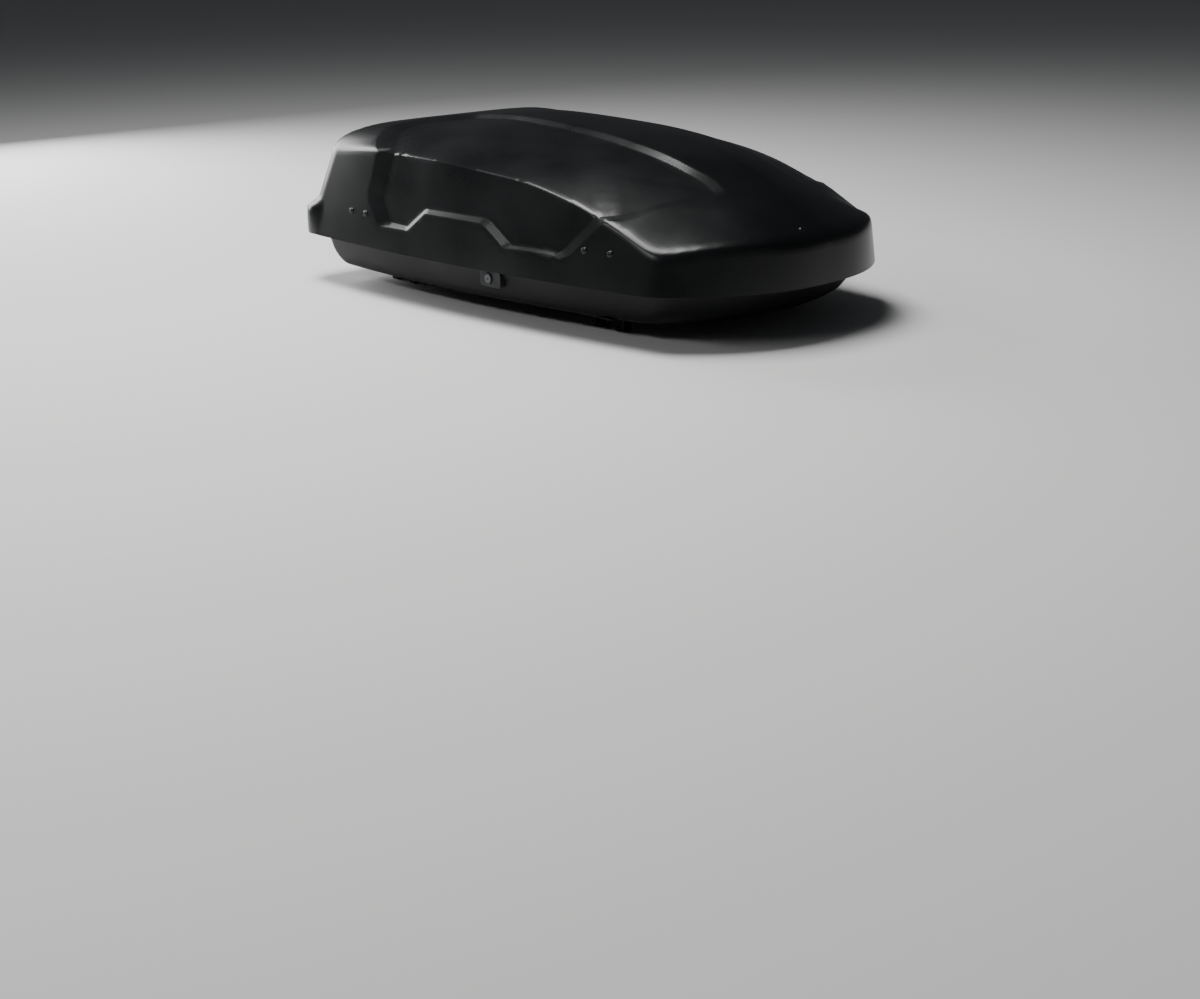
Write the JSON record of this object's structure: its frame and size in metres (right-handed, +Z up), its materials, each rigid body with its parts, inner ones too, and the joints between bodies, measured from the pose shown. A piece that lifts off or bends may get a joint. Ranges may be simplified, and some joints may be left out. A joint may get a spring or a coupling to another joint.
{
  "type": "roof cargo box",
  "caption": "Black roof cargo box for a car, with a two-way opening lid on lifter arms, key locks each side and quick clamps for two roof bars",
  "frame": {"origin": "Centre of the bounding box in plan, at its lowest level, the underside of the clamp claws", "axes": "X forward along the length, Y to the left of the car, Z up"},
  "size_m": [1.395, 0.9018, 0.4294],
  "materials": {
    "lid_abs": "fine-grained vacuum-formed ABS, satin black",
    "tray_abs": "coarser-grained vacuum-formed ABS, matte black",
    "plug_plastic": "moulded black plastic rivet heads",
    "zinc_steel": "bright zinc-plated steel",
    "mill_aluminium": "mill-finish extruded aluminium",
    "galvanised_steel": "galvanised pressed steel strip",
    "black_steel": "black powder-coated steel",
    "moulded_nylon": "glass-filled nylon, dull black",
    "grip_plastic": "grey moulded grip plastic",
    "dipped_rubber": "rubber-dipped steel claw",
    "lock_chrome": "dull nickel-plated lock barrel"
  },
  "bodies": {
    "base": {"base_tray": "tray_abs", "tray_rivets": "zinc_steel", "side_beam_left": "mill_aluminium", "side_beam_right": "mill_aluminium", "hinge_seats_left": "moulded_nylon", "hinge_seats_right": "moulded_nylon", "lock_housing_left": "moulded_nylon", "lock_housing_right": "moulded_nylon", "base_bracket_front": "galvanised_steel", "base_bracket_rear": "galvanised_steel", "lifter_spring_front": "black_steel", "lifter_spring_rear": "black_steel", "base_pivot_front": "zinc_steel", "base_pivot_rear": "zinc_steel", "clamp_track_front_left": "mill_aluminium", "clamp_track_front_right": "mill_aluminium", "clamp_track_rear_left": "mill_aluminium", "clamp_track_rear_right": "mill_aluminium"},
    "lifter_rear": {"lifter_arm_rear": "black_steel"},
    "lifter_front": {"lifter_arm_front": "black_steel"},
    "lid": {"lid_shell": "lid_abs", "lid_plugs": "plug_plastic", "lid_rail_left": "mill_aluminium", "lid_rail_right": "mill_aluminium", "lid_pins_left": "zinc_steel", "lid_pins_right": "zinc_steel", "lid_bracket_front": "galvanised_steel", "lid_bracket_rear": "galvanised_steel", "lid_pivot_front": "zinc_steel", "lid_pivot_rear": "zinc_steel"},
    "latch_left": {"latch_rail_left": "galvanised_steel"},
    "lock_left": {"lock_cylinder_left": "lock_chrome"},
    "latch_right": {"latch_rail_right": "galvanised_steel"},
    "lock_right": {"lock_cylinder_right": "lock_chrome"},
    "clamp_front_left": {"clamp_housing_front_left": "moulded_nylon"},
    "knob_front_left": {"clamp_knob_front_left": "grip_plastic", "clamp_shaft_front_left": "zinc_steel"},
    "claw_fore_body_front_left": {"claw_fore_front_left": "dipped_rubber"},
    "claw_aft_body_front_left": {"claw_aft_front_left": "dipped_rubber"},
    "clamp_front_right": {"clamp_housing_front_right": "moulded_nylon"},
    "knob_front_right": {"clamp_knob_front_right": "grip_plastic", "clamp_shaft_front_right": "zinc_steel"},
    "claw_fore_body_front_right": {"claw_fore_front_right": "dipped_rubber"},
    "claw_aft_body_front_right": {"claw_aft_front_right": "dipped_rubber"},
    "clamp_rear_left": {"clamp_housing_rear_left": "moulded_nylon"},
    "knob_rear_left": {"clamp_knob_rear_left": "grip_plastic", "clamp_shaft_rear_left": "zinc_steel"},
    "claw_fore_body_rear_left": {"claw_fore_rear_left": "dipped_rubber"},
    "claw_aft_body_rear_left": {"claw_aft_rear_left": "dipped_rubber"},
    "clamp_rear_right": {"clamp_housing_rear_right": "moulded_nylon"},
    "knob_rear_right": {"clamp_knob_rear_right": "grip_plastic", "clamp_shaft_rear_right": "zinc_steel"},
    "claw_fore_body_rear_right": {"claw_fore_rear_right": "dipped_rubber"},
    "claw_aft_body_rear_right": {"claw_aft_rear_right": "dipped_rubber"}
  },
  "joints": [
    {"name": "open_from_right", "type": "hinge", "parent": "base", "child": "lifter_rear", "pos_m": [-0.545, 0.35, 0.137], "axis": [-1, 0, 0], "range_deg": [0, 40]},
    {"name": "open_from_left", "type": "hinge", "parent": "lifter_rear", "child": "lid", "pos_m": [-0.545, -0.35, 0.137], "axis": [1, 0, 0], "range_deg": [0, 40]},
    {"name": "front_lifter_swing", "type": "hinge", "parent": "base", "child": "lifter_front", "pos_m": [0.262, 0.35, 0.137], "axis": [-1, 0, 0], "range_deg": [0, 40]},
    {"name": "key_turn_left", "type": "hinge", "parent": "base", "child": "lock_left", "pos_m": [0.01, 0.38, 0.097], "axis": [0, 1, 0], "range_deg": [0, 90]},
    {"name": "latch_slide_left", "type": "slide", "parent": "base", "child": "latch_left", "axis": [1, 0, 0], "range_m": [0, 0.014]},
    {"name": "key_turn_right", "type": "hinge", "parent": "base", "child": "lock_right", "pos_m": [0.01, -0.38, 0.097], "axis": [0, 1, 0], "range_deg": [0, 90]},
    {"name": "latch_slide_right", "type": "slide", "parent": "base", "child": "latch_right", "axis": [1, 0, 0], "range_m": [0, 0.014]},
    {"name": "clamp_shift_front_left", "type": "slide", "parent": "base", "child": "clamp_front_left", "axis": [1, 0, 0], "range_m": [-0.04, 0.04]},
    {"name": "knob_turn_front_left", "type": "hinge", "parent": "clamp_front_left", "child": "knob_front_left", "pos_m": [0.28, 0.255, 0.08], "axis": [0, 0, 1], "range_deg": [0, 171.9]},
    {"name": "fore_grip_front_left", "type": "slide", "parent": "clamp_front_left", "child": "claw_fore_body_front_left", "axis": [1, 0, 0], "range_m": [0, 0.024]},
    {"name": "aft_grip_front_left", "type": "slide", "parent": "clamp_front_left", "child": "claw_aft_body_front_left", "axis": [-1, 0, 0], "range_m": [0, 0.024]},
    {"name": "clamp_shift_front_right", "type": "slide", "parent": "base", "child": "clamp_front_right", "axis": [1, 0, 0], "range_m": [-0.04, 0.04]},
    {"name": "knob_turn_front_right", "type": "hinge", "parent": "clamp_front_right", "child": "knob_front_right", "pos_m": [0.28, -0.255, 0.08], "axis": [0, 0, 1], "range_deg": [0, 171.9]},
    {"name": "fore_grip_front_right", "type": "slide", "parent": "clamp_front_right", "child": "claw_fore_body_front_right", "axis": [1, 0, 0], "range_m": [0, 0.024]},
    {"name": "aft_grip_front_right", "type": "slide", "parent": "clamp_front_right", "child": "claw_aft_body_front_right", "axis": [-1, 0, 0], "range_m": [0, 0.024]},
    {"name": "clamp_shift_rear_left", "type": "slide", "parent": "base", "child": "clamp_rear_left", "axis": [1, 0, 0], "range_m": [-0.04, 0.04]},
    {"name": "knob_turn_rear_left", "type": "hinge", "parent": "clamp_rear_left", "child": "knob_rear_left", "pos_m": [-0.48, 0.255, 0.08], "axis": [0, 0, 1], "range_deg": [0, 171.9]},
    {"name": "fore_grip_rear_left", "type": "slide", "parent": "clamp_rear_left", "child": "claw_fore_body_rear_left", "axis": [1, 0, 0], "range_m": [0, 0.024]},
    {"name": "aft_grip_rear_left", "type": "slide", "parent": "clamp_rear_left", "child": "claw_aft_body_rear_left", "axis": [-1, 0, 0], "range_m": [0, 0.024]},
    {"name": "clamp_shift_rear_right", "type": "slide", "parent": "base", "child": "clamp_rear_right", "axis": [1, 0, 0], "range_m": [-0.04, 0.04]},
    {"name": "knob_turn_rear_right", "type": "hinge", "parent": "clamp_rear_right", "child": "knob_rear_right", "pos_m": [-0.48, -0.255, 0.08], "axis": [0, 0, 1], "range_deg": [0, 171.9]},
    {"name": "fore_grip_rear_right", "type": "slide", "parent": "clamp_rear_right", "child": "claw_fore_body_rear_right", "axis": [1, 0, 0], "range_m": [0, 0.024]},
    {"name": "aft_grip_rear_right", "type": "slide", "parent": "clamp_rear_right", "child": "claw_aft_body_rear_right", "axis": [-1, 0, 0], "range_m": [0, 0.024]}
  ],
  "couplings": [
    {"joint": "front_lifter_swing", "follows": "open_from_right", "ratio": 1},
    {"joint": "key_turn_left", "follows": "latch_slide_left", "rad_per_m": 112.19},
    {"joint": "key_turn_right", "follows": "latch_slide_right", "rad_per_m": 112.19},
    {"joint": "knob_turn_front_left", "follows": "fore_grip_front_left", "rad_per_m": 125},
    {"joint": "aft_grip_front_left", "follows": "fore_grip_front_left", "ratio": 1},
    {"joint": "knob_turn_front_right", "follows": "fore_grip_front_right", "rad_per_m": 125},
    {"joint": "aft_grip_front_right", "follows": "fore_grip_front_right", "ratio": 1},
    {"joint": "knob_turn_rear_left", "follows": "fore_grip_rear_left", "rad_per_m": 125},
    {"joint": "aft_grip_rear_left", "follows": "fore_grip_rear_left", "ratio": 1},
    {"joint": "knob_turn_rear_right", "follows": "fore_grip_rear_right", "rad_per_m": 125},
    {"joint": "aft_grip_rear_right", "follows": "fore_grip_rear_right", "ratio": 1}
  ]
}
